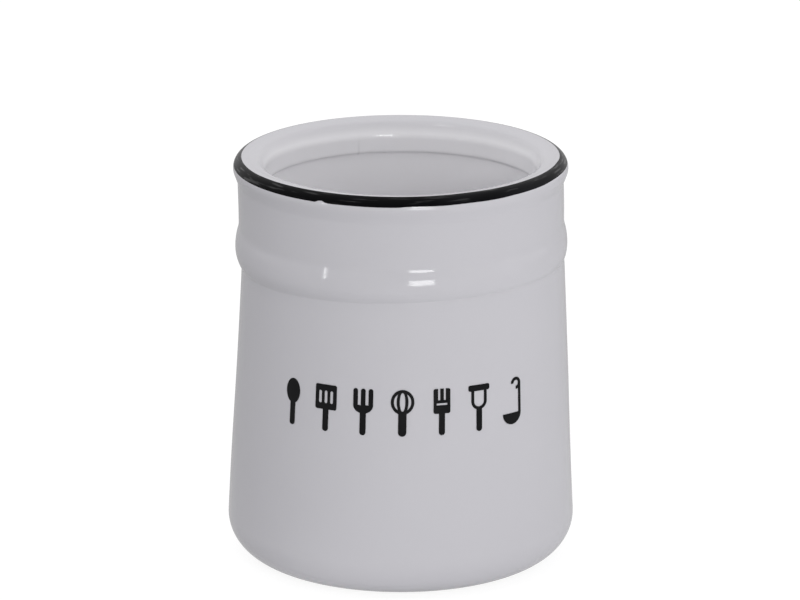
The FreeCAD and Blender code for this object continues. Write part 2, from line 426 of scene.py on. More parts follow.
class Section:
    """The clay's half section, from the middle of the recess round the outside to the middle of the floor."""

    def __init__(self, sizes: CrockSizes) -> None:
        """Lays out the stations and the cuts where one coat ends and the next begins.

        Args:
            sizes: The crock's sizes.
        """
        self.sizes = sizes
        self.stations = self.follow(self.corners())
        rim = sizes.rim_centre
        self.base_end = self.cut(lambda p: p.x > sizes.glaze and p.y < sizes.bare_foot_height)
        self.outer_start = self.cut(lambda p: p.x > rim.x - sizes.wall and p.y > sizes.bare_foot_height)
        self.band_low = self.cut(lambda p: self.rim_angle(p) > sizes.band_low_angle)
        self.band_top = self.cut(lambda p: self.rim_angle(p) > sizes.band_top_angle)

    def rim_angle(self, place: Vector) -> float:
        """Where a place lies round the rim's middle.

        Args:
            place: The place on the section.

        Returns:
            The angle from straight outwards, or OFF_RIM where the place isn't on the rolled rim.
        """
        arm = place - self.sizes.rim_centre
        if arm.length > RIM_REACH * self.sizes.rim_round:
            return OFF_RIM
        return math.degrees(math.atan2(arm.y, arm.x))

    @staticmethod
    def tangent_corner(centre: Vector, radius: float, low: float, high: float) -> Vector:
        """Where the two lines meet that touch a circle at two angles."""
        return centre + ray((low + high) / 2) * (radius / math.cos(math.radians(high - low) / 2))

    @staticmethod
    def meeting(point: Vector, angle: float, line_point: Vector, line_angle: float) -> Vector:
        """Where a line through a point, at an angle, meets another such line."""
        across, along = ray(line_angle + 90), ray(angle)
        return point + along * ((line_point - point).dot(across) / along.dot(across))

    def corners(self) -> list[Corner]:
        """The path's corners before rounding.

        Returns:
            Each corner with the radius that rounds it.
        """
        s = self.sizes
        foot_outer = s.base_radius - s.base_round / math.tan(math.radians(90 - s.wall_taper) / 2)
        foot_inner = foot_outer - s.foot_width
        inner_radius = s.collar_radius - s.wall
        throat_radius = inner_radius - s.undercut
        throat_z = s.crest_z - s.throat_depth
        floor_z = s.recess_depth + s.floor
        floor_radius = s.base_radius - s.taper * floor_z - s.wall
        shoulder_z = s.bead_z - s.neck_set_in / s.taper
        collar = Vector((s.collar_radius, 0.0))
        slope_angle = 90 + s.lip_slope
        crest = self.tangent_corner(s.rim_centre, s.rim_round, -s.flare_angle, slope_angle)
        crown_centre = Vector((s.collar_radius + s.bead_rise - s.bead_crown_round, s.bead_z))
        valley_turn = 1 - s.bead_rise / (s.bead_crown_round + s.bead_valley_round)
        valley_angle = math.degrees(math.acos(valley_turn))
        apex = self.tangent_corner(crown_centre, s.bead_crown_round, -s.crease_angle, valley_angle)
        wall_foot = Vector((s.base_radius, 0.0))
        return [
            (Vector((0.0, s.recess_depth)), 0.0),
            (Vector((foot_inner, s.recess_depth)), s.recess_round),
            (Vector((foot_inner, 0.0)), s.foot_edge_round),
            (wall_foot, s.base_round),
            (self.meeting(apex, 90 - s.crease_angle, wall_foot, 90 + s.wall_taper), s.crease_round),
            (apex, s.bead_crown_round),
            (self.meeting(apex, 90 + valley_angle, collar, 90), s.bead_valley_round),
            (self.meeting(crest, 90 - s.flare_angle, collar, 90), s.flare_round),
            (crest, s.rim_round),
            (self.meeting(crest, slope_angle + 90, Vector((throat_radius, 0.0)), 90), s.lip_round),
            (Vector((throat_radius, throat_z)), s.throat_edge_round),
            (Vector((inner_radius, throat_z)), s.undercut_round),
            (Vector((inner_radius, shoulder_z)), s.shoulder_round),
            (Vector((floor_radius, floor_z)), s.floor_round),
            (Vector((0.0, floor_z)), 0.0),
        ]

    @staticmethod
    def follow(corners: Sequence[Corner]) -> list[Station]:
        """Follows straight runs and tangent arcs from the first corner to the last.

        Args:
            corners: Each corner with the radius that rounds it.

        Returns:
            The stations in order.
        """
        stations: list[Station] = []
        here = corners[0][0]
        for (before, _), (corner, radius), (after, _) in zip(corners, corners[1:], corners[2:]):
            back, ahead = (before - corner).normalized(), (after - corner).normalized()
            half = back.angle(ahead) / 2
            start = corner + back * (radius / math.tan(half))
            centre = corner + (back + ahead).normalized() * (radius / math.sin(half))
            stations += straight_run(here, start) + round_run(centre, start, -back, ahead)
            here = corner + ahead * (radius / math.tan(half))
        last = straight_run(here, corners[-1][0])
        return stations + last + [Station(corners[-1][0], last[-1].out)]

    def cut(self, beyond: Callable[[Vector], bool]) -> int:
        """Puts a station where the path first comes to lie beyond a limit.

        Args:
            beyond: A test of a place, false before the cut and true after it.

        Returns:
            The number of the new station.
        """
        index = next(i for i, s in enumerate(self.stations) if beyond(s.place))
        before, after = self.stations[index - 1], self.stations[index]
        low, high = 0.0, 1.0
        for _ in range(CUT_HALVINGS):
            middle = (low + high) / 2
            if beyond(before.towards(after, middle).place):
                high = middle
            else:
                low = middle
        self.stations.insert(index, before.towards(after, high))
        return index


class TreeMaker:
    """Starts a geometry node tree with named inputs and ends it with one mesh in one material."""

    def __init__(self, name: str, inputs: dict[str, str]) -> None:
        """Makes the tree and its inputs.

        Args:
            name: The tree's name.
            inputs: The socket type of each size, by its name. A geometry and a material are added.
        """
        self.tree = bpy.data.node_groups.new(name, "GeometryNodeTree")
        self.wiring = Wiring(self.tree)
        self.tree.interface.new_socket("Geometry", in_out="OUTPUT", socket_type="NodeSocketGeometry")
        inputs = {"Geometry": "NodeSocketGeometry", **inputs, "Material": "NodeSocketMaterial"}
        for label, kind in inputs.items():
            self.tree.interface.new_socket(label, in_out="INPUT", socket_type=kind)
        self.inputs = self.wiring.add("NodeGroupInput").outputs

    def finish(self, mesh: Feed, sharp_angle: float) -> Tree:
        """Smooths the faces, keeps the sharp edges and sets the material.

        Args:
            mesh: The socket that carries the finished mesh.
            sharp_angle: The angle between two faces past which their edge stays sharp, in degrees.

        Returns:
            The finished tree.
        """
        out = self.wiring.out
        feeds = {"Geometry": mesh, "Shade Smooth": True}
        smooth = out("GeometryNodeSetShadeSmooth", feeds, domain="FACE")
        angle = out("GeometryNodeInputMeshEdgeAngle")
        sharp = self.wiring.math("GREATER_THAN", angle, math.radians(sharp_angle))
        feeds = {"Geometry": smooth, "Selection": sharp, "Shade Smooth": False}
        edged = out("GeometryNodeSetShadeSmooth", feeds, domain="EDGE")
        real = out("GeometryNodeRealizeInstances", {"Geometry": edged})
        feeds = {"Geometry": real, "Material": self.inputs["Material"]}
        dressed = out("GeometryNodeSetMaterial", feeds)
        self.wiring.add("NodeGroupOutput", {"Geometry": dressed})
        return self.tree


@dataclass(frozen=True)
class Zone:
    """Heights of the casting that are uneven, each with its share, and how far from the axis this reaches."""

    heights: Line
    reach: float
    handle: Handle

    def share(self, wiring: Wiring, position: Feed, top: float) -> Socket:
        """How far a point lies in the zone.

        Args:
            wiring: The tree that the nodes go into.
            position: The point.
            top: The crock's height.

        Returns:
            The share at the point's height, which is nothing beyond the zone's reach.
        """
        points = [(height / top, share) for height, share in self.heights]
        height = wiring.math("DIVIDE", wiring.split(position)[2], top * MM)
        near = wiring.math("LESS_THAN", wiring.radius(position), self.reach * MM)
        return wiring.times(wiring.curve(height, points, self.handle), near)


@dataclass(frozen=True)
class Drift:
    """A zone of the casting that sits a little off its true place, in millimetres."""

    zone: Zone
    move: tuple[float, float, float]
    rise: tuple[float, float] = (0.0, 0.0)

    def offset(self, wiring: Wiring, position: Feed, top: float) -> Socket:
        """How far a point is moved.

        Args:
            wiring: The tree that the nodes go into.
            position: The point.
            top: The crock's height.

        Returns:
            The offset, which is whole where the zone's share is 1.
        """
        x, y, _ = wiring.split(position)
        along = wiring.times_plus(x, self.rise[0], wiring.times(y, self.rise[1]))
        up = wiring.plus(along, self.move[2] * MM)
        whole = wiring.joined(self.move[0] * MM, self.move[1] * MM, up)
        return wiring.scaled(whole, self.zone.share(wiring, position, top))


@dataclass(frozen=True)
class Narrowing:
    """A zone whose wall stands closer to a radius, in millimetres, by a share of the way to it."""

    zone: Zone
    radius: float
    closer: float

    def offset(self, wiring: Wiring, position: Feed, top: float) -> Socket:
        """How far a point is moved.

        Args:
            wiring: The tree that the nodes go into.
            position: The point.
            top: The crock's height.

        Returns:
            The offset towards the axis, which is nothing inside the radius.
        """
        past = wiring.minus(wiring.radius(position), self.radius * MM)
        inwards = wiring.times(wiring.math("MAXIMUM", past, 0.0), -self.closer)
        depth = wiring.times(inwards, self.zone.share(wiring, position, top))
        return wiring.scaled(wiring.outwards(position), depth)


@dataclass(frozen=True)
class HandWork:
    """The unevenness of a hand-finished casting, the same for every coat and print."""

    top: float
    uneven: tuple[Drift | Narrowing, ...]
    waver: Grain = Grain(17.0, 1.0, 3.7)
    depth: float = 0.14 * MM
    sharp_angle: float = 40.0

    def offset(self, wiring: Wiring, position: Feed) -> Socket:
        """How far a point lies from its true place.

        Args:
            wiring: The tree that the nodes go into.
            position: The point.

        Returns:
            The sum of each uneven zone's offset and of a slow waver that never points out of the crock.
        """
        depth = wiring.times(self.waver.at(wiring, position), -self.depth)
        whole = wiring.scaled(wiring.outwards(position), depth)
        for part in self.uneven:
            whole = wiring.vector("ADD", whole, part.offset(wiring, position, self.top))
        return whole


@dataclass(frozen=True)
class BrushLine:
    """The uneven line that a brush leaves round the rim, as angles on the rim's round."""

    level: float
    reach: tuple[float, float]
    swing: float
    slides: Line

    def shift(self, wiring: Wiring, azimuth: Feed, angle: Feed) -> Socket:
        """How far a point slides along the rim's round.

        Args:
            wiring: The tree that the nodes go into.
            azimuth: The point's place round the crock, from 0 to 1 with the front at a half.
            angle: The point's angle on the rim's round, in degrees.

        Returns:
            The slide in degrees, which is whole at the line's own level and nothing at its reach.
        """
        points = [(0.5 + turn / 360, 0.5 + slide / (2 * self.swing)) for turn, slide in self.slides]
        line = wiring.curve(azimuth, points, Handle.SMOOTH)
        slide = wiring.times_plus(line, 2 * self.swing, -self.swing)
        rise = wiring.ranged(angle, self.reach[0], self.level, 0.0, 1.0)
        fall = wiring.ranged(angle, self.level, self.reach[1], 1.0, 0.0)
        return wiring.times(slide, wiring.times(rise, fall))


@dataclass(frozen=True)
class TurnedTree:
    """Turns a section about Z, slides it to the brush lines and gives it the hand's unevenness."""

    sizes: CrockSizes
    hand: HandWork
    low_line: BrushLine
    top_line: BrushLine
    path_radius: float = 50.0 * MM
    weld: float = 0.002 * MM

    def outline(self, name: str, places: Sequence[Vector], closed: bool) -> Mesh:
        """The section as the tree takes it, measured from the path that it is swept along."""
        flat = [Vector((p.x * MM - self.path_radius, -p.y * MM)) for p in places]
        return wire_mesh(name, [flat], closed)

    def make(self) -> Tree:
        """Builds the tree.

        Returns:
            The tree, with inputs for the number of segments, the path's radius and the weld.
        """
        kinds = {"Segments": "NodeSocketInt", "Path Radius": "NodeSocketFloat", "Weld": "NodeSocketFloat"}
        maker = TreeMaker("Turned coat", kinds)
        wiring, inputs = maker.wiring, maker.inputs
        section = wiring.out("GeometryNodeMeshToCurve", {"Mesh": inputs["Geometry"]})
        feeds = {"Resolution": inputs["Segments"], "Radius": inputs["Path Radius"]}
        path = wiring.out("GeometryNodeCurvePrimitiveCircle", feeds)
        swept = wiring.out("GeometryNodeCurveToMesh", {"Curve": path, "Profile Curve": section})
        feeds = {"Geometry": swept, "Distance": inputs["Weld"]}
        welded = wiring.out("GeometryNodeMergeByDistance", feeds)
        position = wiring.out("GeometryNodeInputPosition")
        feeds = {"Geometry": welded, "Position": self.slid(wiring, position)}
        slid = wiring.out("GeometryNodeSetPosition", feeds)
        feeds = {"Geometry": slid, "Offset": self.hand.offset(wiring, position)}
        worked = wiring.out("GeometryNodeSetPosition", feeds)
        return maker.finish(worked, self.hand.sharp_angle)

    def slid(self, wiring: Wiring, position: Feed) -> Socket:
        """Where a point lies once the rim follows the brush lines.

        Args:
            wiring: The tree that the nodes go into.
            position: The point.

        Returns:
            The point, moved along the rim's round and never off it.
        """
        centre = self.sizes.rim_centre * MM
        x, y, z = wiring.split(position)
        radius = wiring.length(x, y)
        turn = wiring.math("ARCTAN2", x, wiring.times(y, -1.0))
        azimuth = wiring.times_plus(turn, 1 / math.tau, 0.5)
        across = wiring.minus(radius, centre.x)
        up = wiring.minus(z, centre.y)
        arm = wiring.length(across, up)
        angle = wiring.math("DEGREES", wiring.math("ARCTAN2", up, across))
        lines = [line.shift(wiring, azimuth, angle) for line in (self.low_line, self.top_line)]
        moved = wiring.math("RADIANS", wiring.plus(angle, wiring.plus(*lines)))
        new_radius = wiring.times_plus(arm, wiring.math("COSINE", moved), centre.x)
        new_z = wiring.times_plus(arm, wiring.math("SINE", moved), centre.y)
        growth = wiring.math("DIVIDE", new_radius, radius)
        return wiring.joined(wiring.times(x, growth), wiring.times(y, growth), new_z)


@dataclass(frozen=True)
class FilmTree:
    """Fills flat outlines, wraps them on the tapered wall and gives them the film's thickness."""

    sizes: CrockSizes
    hand: HandWork
    row_z: float = 75.6
    film: float = 0.15
    clearance: float = 0.02
    weld: float = 0.001
    fineness: int = 3

    def make(self) -> Tree:
        """Builds the tree.

        Returns:
            The tree, with inputs for the figure's place round the wall and the film's sizes.
        """
        numbers = ("Place", "Row Height", "Row Radius", "Taper", "Film", "Weld")
        kinds = {**dict.fromkeys(numbers, "NodeSocketFloat"), "Fineness": "NodeSocketInt"}
        maker = TreeMaker("Printed film", kinds)
        wiring, inputs = maker.wiring, maker.inputs
        lines = wiring.out("GeometryNodeMeshToCurve", {"Mesh": inputs["Geometry"]})
        filled = wiring.out("GeometryNodeFillCurve", {"Curve": lines}, mode="TRIANGLES")
        feeds = {"Mesh": filled, "Level": inputs["Fineness"]}
        fine = wiring.out("GeometryNodeSubdivideMesh", feeds)
        position = wiring.out("GeometryNodeInputPosition")
        across, up, _ = wiring.split(position)
        radius = wiring.minus(inputs["Row Radius"], wiring.times(up, inputs["Taper"]))
        turn = wiring.plus(inputs["Place"], wiring.math("DIVIDE", across, radius))
        x = wiring.times(radius, wiring.math("SINE", turn))
        front = wiring.times(radius, wiring.math("COSINE", turn))
        height = wiring.plus(up, inputs["Row Height"])
        wrapped = wiring.joined(x, wiring.times(front, -1.0), height)
        back = wiring.out("GeometryNodeSetPosition", {"Geometry": fine, "Position": wrapped})
        outwards = {"Offset": wiring.outwards(position), "Offset Scale": inputs["Film"]}
        feeds = {"Mesh": back, **outwards, "Individual": False}
        front_skin = wiring.out("GeometryNodeExtrudeMesh", feeds, mode="FACES")
        back_skin = wiring.out("GeometryNodeFlipFaces", {"Mesh": back})
        whole = wiring.add("GeometryNodeJoinGeometry", {"Geometry": front_skin})
        wiring.feed(whole, {"Geometry": back_skin})
        feeds = {"Geometry": whole.outputs[0], "Distance": inputs["Weld"]}
        welded = wiring.out("GeometryNodeMergeByDistance", feeds)
        feeds = {"Geometry": welded, "Offset": self.hand.offset(wiring, position)}
        worked = wiring.out("GeometryNodeSetPosition", feeds)
        return maker.finish(worked, self.hand.sharp_angle)

    def values(self, place: float) -> dict[str, Any]:
        """The tree's inputs for one figure.

        Args:
            place: The figure's angle from the front, in radians.

        Returns:
            A value for each input, by its name.
        """
        return {
            "Place": place,
            "Row Height": self.row_z * MM,
            "Row Radius": (self.sizes.glazed_radius(self.row_z) + self.clearance) * MM,
            "Taper": self.sizes.taper,
            "Film": self.film * MM,
            "Weld": self.weld * MM,
            "Fineness": self.fineness,
        }


def wire_mesh(name: str, loops: Sequence[Sequence[Vector]], closed: bool) -> Mesh:
    """Flat lines as a mesh of edges.

    Args:
        name: The mesh's name.
        loops: The points of each line.
        closed: Whether each line runs back to its start.

    Returns:
        The mesh.
    """
    points: list[tuple[float, float, float]] = []
    edges: list[tuple[int, int]] = []
    for loop in loops:
        first = len(points)
        points += [(p.x, p.y, 0.0) for p in loop]
        edges += [(i, i + 1) for i in range(first, len(points) - 1)]
        if closed:
            edges.append((len(points) - 1, first))
    mesh = bpy.data.meshes.new(name)
    mesh.from_pydata(points, edges, [])
    return mesh


def grown(name: str, start: Mesh, tree: Tree, values: dict[str, Any]) -> Piece:
    """Runs a node tree once and keeps its result as a plain mesh with its faces outwards.

    Args:
        name: The new piece's name.
        start: The mesh of edges that the tree starts from.
        tree: The node tree.
        values: A value for each of the tree's inputs, by its name.

    Returns:
        The piece, at the origin.
    """
    obj = bpy.data.objects.new(name, start)
    bpy.context.scene.collection.objects.link(obj)
    modifier = obj.modifiers.new("make", "NODES")
    modifier.node_group = tree
    for item in tree.interface.items_tree:
        if item.in_out == "INPUT" and item.name in values:
            modifier[item.identifier] = values[item.name]
    graph = bpy.context.evaluated_depsgraph_get()
    mesh = bpy.data.meshes.new_from_object(obj.evaluated_get(graph), depsgraph=graph)
    obj.modifiers.remove(modifier)
    obj.data = mesh
    bpy.data.meshes.remove(start)
    mesh.name = name
    shell = bmesh.new()
    shell.from_mesh(mesh)
    bmesh.ops.recalc_face_normals(shell, faces=shell.faces)
    shell.to_mesh(mesh)
    shell.free()
    return obj


def settle(piece: Piece, node: str) -> None:
    """Rides a finished piece on the crock's one body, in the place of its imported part.

    Args:
        piece: The finished piece.
        node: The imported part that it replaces.
    """
    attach(piece, BODY)
    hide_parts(node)
    triangles = sum(len(face.vertices) - 2 for face in piece.data.polygons)
    LOG.info("%s: %d triangles", piece.name, triangles)


class Finish:
    """What every finish shares: a started material and its nodes."""

    @staticmethod
    def started(name: str) -> tuple[Material, Wiring, Node, Socket]:
        """Starts a material.

        Args:
            name: The material's name.

        Returns:
            The material, its wiring, its shader and the place on the object.
        """
        material = bpy.data.materials.new(name)
        material.use_nodes = True
        wiring = Wiring(material.node_tree)
        shader = material.node_tree.nodes["Principled BSDF"]
        place = wiring.add("ShaderNodeTexCoord").outputs["Object"]
        return material, wiring, shader, place

    @staticmethod
    def bump(wiring: Wiring, height: Feed, depth: float) -> Socket:
        """A surface raised by up to a depth in metres where the height is 1."""
        feeds = {"Strength": 1.0, "Distance": depth, "Height": height}
        return wiring.out("ShaderNodeBump", feeds)


@dataclass(frozen=True)
class WhiteGlaze(Finish):
    """Glossy white glaze, a little clouded, with a faint orange peel."""

    name: str
    thin: Colour
    thick: Colour
    smooth: float = 0.07
    dull: float = 0.13
    ior: float = 1.48
    cloud: Grain = Grain(26.0, 2.0, 1.3)
    fine: Grain = Grain(420.0, 1.0, 5.1)
    fine_share: float = 0.3
    peel: Grain = Grain(150.0, 1.5, 8.2)
    peel_depth: float = 0.006 * MM

    def material(self) -> Material:
        """Builds the finish.

        Returns:
            The material.
        """
        material, wiring, shader, place = self.started(self.name)
        cloud, fine = self.cloud.at(wiring, place), self.fine.at(wiring, place)
        tone = wiring.times_plus(fine, self.fine_share, wiring.times(cloud, 1 - self.fine_share))
        colour = self.with_painted_light(wiring, place, wiring.blend(tone, self.thin, self.thick))
        rough = wiring.ranged(cloud, *NOISE_RANGE, self.smooth, self.dull)
        peel = wiring.times(self.peel.at(wiring, place), self.peel_depth)
        relief = self.bump(wiring, self.marked(wiring, place, peel), 1.0)
        feeds = {"Base Color": colour, "Roughness": rough, "IOR": self.ior, "Normal": relief}
        wiring.feed(shader, feeds)
        return material

    def marked(self, wiring: Wiring, place: Feed, height: Feed) -> Feed:
        """The glaze's height with any marks on it, of which a sprayed coat has none."""
        return height

    def with_painted_light(self, wiring: Wiring, place: Feed, colour: Feed) -> Feed:
        """The colour with any painted light or shade, of which a sprayed coat has none."""
        return colour


@dataclass(frozen=True)
class PouredGlaze(WhiteGlaze):
    """White glaze for the inside, at its own colour on the lip and painted whiter below it: painted light
    that stands in for the light inside the crock.
    """

    # Below the lip the inside is painted this much whiter than the outer glaze, as painted light; it fades to
    # the lip's own colour between the heights below
    painted_light_white: Colour = (0.865, 0.859, 0.877, 1.0)
    painted_light_heights: tuple[float, float] = (153.5 * MM, 160.6 * MM)
    seam_angle: float = -161.5
    seam_width: float = 0.9 * MM
    seam_heights: tuple[float, float] = (146.0 * MM, 155.0 * MM)
    # The seam's groove is painted darker, as painted shade
    seam_painted_shade: Colour = (0.78, 0.77, 0.79, 1.0)
    seam_depth: float = 0.025 * MM

    def seam(self, wiring: Wiring, place: Feed) -> Socket:
        """How far a place lies on the seam that a mould left down the throat.

        Args:
            wiring: The tree that the nodes go into.
            place: The place on the object.

        Returns:
            A share from 0 to 1.
        """
        x, y, z = wiring.split(place)
        east, north = math.sin(math.radians(self.seam_angle)), -math.cos(math.radians(self.seam_angle))
        across = wiring.times_plus(x, north, wiring.times(y, -east))
        outwards = wiring.times_plus(x, east, wiring.times(y, north))
        line = wiring.ranged(wiring.math("ABSOLUTE", across), 0.0, self.seam_width, 1.0, 0.0)
        low, high = self.seam_heights
        run = wiring.times(wiring.math("GREATER_THAN", z, low), wiring.ranged(z, low, high, 1.0, 0.0))
        here = wiring.times(wiring.math("GREATER_THAN", outwards, 0.0), run)
        return wiring.times(line, here)

    def marked(self, wiring: Wiring, place: Feed, height: Feed) -> Feed:
        """The glaze's height, lower along the seam."""
        return wiring.times_plus(self.seam(wiring, place), -self.seam_depth, height)

    def with_painted_light(self, wiring: Wiring, place: Feed, colour: Feed) -> Feed:
        """The colour with its painted light and shade.

        Args:
            wiring: The tree that the nodes go into.
            place: The place on the object.
            colour: The colour of a thin coat there.

        Returns:
            The colour, painted whiter below the lip as painted light, and darker along the seam as painted
            shade.
        """
        height = wiring.split(place)[2]
        # Painted light: whiter inside the crock below the lip
        white = wiring.blend(wiring.ranged(height, *self.painted_light_heights, 1.0, 0.0), colour, self.painted_light_white)
        # Painted shade along the seam's groove
        return wiring.blend(self.seam(wiring, place), white, self.seam_painted_shade)


@dataclass(frozen=True)
class BlackGlaze(Finish):
    """Black glaze put on by brush, with fine strokes that run round the rim."""

    rim_centre: tuple[float, float]
    name: str = "black_glaze"
    deep: Colour = (0.002, 0.002, 0.0025, 1.0)
    worn: Colour = (0.012, 0.012, 0.014, 1.0)
    smooth: float = 0.08
    dull: float = 0.32
    specular: float = 0.05
    wet: float = 0.3
    wet_range: tuple[float, float] = (0.54, 0.66)
    round_scale: float = 3.2
    across_scale: float = 2.6
    stroke: Grain = Grain(2.0, 3.0, 2.4)
    stroke_depth: float = 0.02 * MM
    patch: Grain = Grain(24.0, 1.0, 6.6)
    worn_range: tuple[float, float] = (0.42, 0.68)

    def material(self) -> Material:
        """Builds the finish.

        Returns:
            The material.
        """
        material, wiring, shader, place = self.started(self.name)
        x, y, z = wiring.split(place)
        radius = wiring.length(x, y)
        up = wiring.minus(z, self.rim_centre[1])
        angle = wiring.math("ARCTAN2", up, wiring.minus(radius, self.rim_centre[0]))
        east, north = (wiring.times(wiring.math("DIVIDE", v, radius), self.round_scale) for v in (x, y))
        along = wiring.joined(east, north, wiring.times(angle, self.across_scale))
        stroke = self.stroke.at(wiring, along)
        wear = wiring.ranged(self.patch.at(wiring, place), *self.worn_range, 0.0, 1.0)
        feeds = {
            "Base Color": wiring.blend(wear, self.deep, self.worn),
            "Roughness": wiring.times_plus(wear, self.dull - self.smooth, self.smooth),
            "Specular IOR Level": wiring.ranged(stroke, *self.wet_range, self.specular, self.wet),
            "Normal": self.bump(wiring, stroke, self.stroke_depth),
        }
        wiring.feed(shader, feeds)
        return material


@dataclass(frozen=True)
class BlackEnamel(Finish):
    """Satin black print, a little thinner in places."""

    name: str = "black_enamel"
    deep: Colour = (0.004, 0.004, 0.0045, 1.0)
    thin: Colour = (0.008, 0.008, 0.009, 1.0)
    smooth: float = 0.30
    dull: float = 0.44
    specular: float = 0.12
    cloud: Grain = Grain(140.0, 2.0, 4.4)
    grain: Grain = Grain(2200.0, 1.0, 9.5)
    grain_depth: float = 0.004 * MM

    def material(self) -> Material:
        """Builds the finish.

        Returns:
            The material.
        """
        material, wiring, shader, place = self.started(self.name)
        cloud = self.cloud.at(wiring, place)
        feeds = {
            "Base Color": wiring.blend(cloud, self.deep, self.thin),
            "Roughness": wiring.ranged(cloud, *NOISE_RANGE, self.smooth, self.dull),
            "Specular IOR Level": self.specular,
            "Normal": self.bump(wiring, self.grain.at(wiring, place), self.grain_depth),
        }
        wiring.feed(shader, feeds)
        return material


@dataclass(frozen=True)
class BareClay(Finish):
    """Unglazed stoneware, matte and gritty, with a few iron specks."""

    name: str = "bare_clay"
    pale: Colour = (0.66, 0.60, 0.52, 1.0)
    warm: Colour = (0.55, 0.48, 0.40, 1.0)
    speck: Colour = (0.18, 0.12, 0.08, 1.0)
    roughness: float = 0.85
    cloud: Grain = Grain(60.0, 3.0, 7.7)
    grit: Grain = Grain(2600.0, 2.0, 3.3)
    grit_depth: float = 0.03 * MM
    speck_scale: float = 420.0
    speck_edge: tuple[float, float] = (0.05, 0.13)

    def material(self) -> Material:
        """Builds the finish.

        Returns:
            The material.
        """
        material, wiring, shader, place = self.started(self.name)
        cells = {"Vector": place, "Scale": self.speck_scale}
        iron = wiring.add("ShaderNodeTexVoronoi", cells).outputs["Distance"]
        spot = wiring.ranged(iron, *self.speck_edge, 1.0, 0.0)
        body = wiring.blend(self.cloud.at(wiring, place), self.pale, self.warm)
        feeds = {
            "Base Color": wiring.blend(spot, body, self.speck),
            "Roughness": self.roughness,
            "Normal": self.bump(wiring, self.grit.at(wiring, place), self.grit_depth),
        }
        wiring.feed(shader, feeds)
        return material


@dataclass(frozen=True, kw_only=True)
class TurnedPiece:
    """What every turned piece shares: the clay's section and the tree that turns a part of it."""

    section: Section
    turner: TurnedTree
    segments: int = 288

    def dress(self, material: Material) -> dict[str, Any]:
        """The tree's inputs, with the piece's finish."""
        sizes = {"Path Radius": self.turner.path_radius, "Weld": self.turner.weld}
        return {"Segments": self.segments, **sizes, "Material": material}

    def turned(self, name: str, places: Loop, closed: bool, tree: Tree, material: Material) -> Piece:
        """Turns an outline, given in millimetres, into a piece with a finish."""
        return grown(name, self.turner.outline(name, places, closed), tree, self.dress(material))


@dataclass(frozen=True, kw_only=True)
class ClayBody(TurnedPiece):
    """The cast stoneware body, bare on its foot ring."""

    finish: BareClay
    segments: int = 224
    name: str = "clay_body"

    def build(self, tree: Tree) -> Piece:
        """Turns the whole section in bare clay."""
        places = [station.place for station in self.section.stations]
        return self.turned(self.name + "_core", places, False, tree, self.finish.material())


@dataclass(frozen=True, kw_only=True)
class GlazeCoat(TurnedPiece):
    """A coat of white glaze on one zone of the clay, thinning out where it ends on the foot."""

    coat: Coat
    thin_shares: tuple[float, ...] = (0.05, 0.14, 0.28, 0.45, 0.7)
    least: float = 0.03

    def feathered(self, first: Station, second: Station) -> list[tuple[Station, float]]:
        """The rounded edge of a coat.

        Args:
            first: Where the coat ends.
            second: Where it has its whole thickness.

        Returns:
            Stations from the end, each with the coat's thickness there.
        """
        glaze = self.section.sizes.glaze
        edge = [(first, self.least)]
        for share in self.thin_shares:
            edge.append((first.towards(second, share), glaze * math.sqrt(1 - (1 - share) ** 2)))
        return edge

    def outline(self) -> tuple[list[Vector], bool]:
        """The coat's own half section.

        Returns:
            Its points in order, and whether they run back to the start.
        """
        section, glaze = self.section, self.section.sizes.glaze
        stations = section.stations
        if self.coat is Coat.OUTER:
            zone = stations[section.outer_start:section.band_low + 1]
            skin = self.feathered(zone[0], zone[1]) + [(s, glaze) for s in zone[1:]]
        elif self.coat is Coat.INNER:
            skin = [(s, glaze) for s in stations[section.band_top:]]
        else:
            zone = stations[:section.base_end + 1]
            edge = self.feathered(zone[-1], zone[-2])
            skin = [(s, glaze) for s in zone[:-1]] + edge[::-1]
        front = [station.lifted(coat) for station, coat in skin]
        back = [station.place for station, _ in reversed(skin)]
        if self.coat is Coat.INNER:
            return back + front, False
        return front + back, self.coat is Coat.OUTER

    def build(self, tree: Tree, material: Material) -> Piece:
        """Turns the coat in a glaze."""
        places, closed = self.outline()
        return self.turned(self.coat.value + "_skin", places, closed, tree, material)


@dataclass(frozen=True, kw_only=True)
class RimBand(TurnedPiece):
    """The black band that is brushed round the rolled rim."""

    finish: BlackGlaze
    name: str = "rim_band_brushed"

    def build(self, tree: Tree) -> Piece:
        """Turns the band.

        Args:
            tree: The node tree that turns it.

        Returns:
            The piece.
        """
        zone = self.section.stations[self.section.band_low:self.section.band_top + 1]
        front = [station.lifted(self.section.sizes.glaze) for station in zone]
        back = [station.place for station in reversed(zone)]
        return self.turned(self.name, front + back, True, tree, self.finish.material())


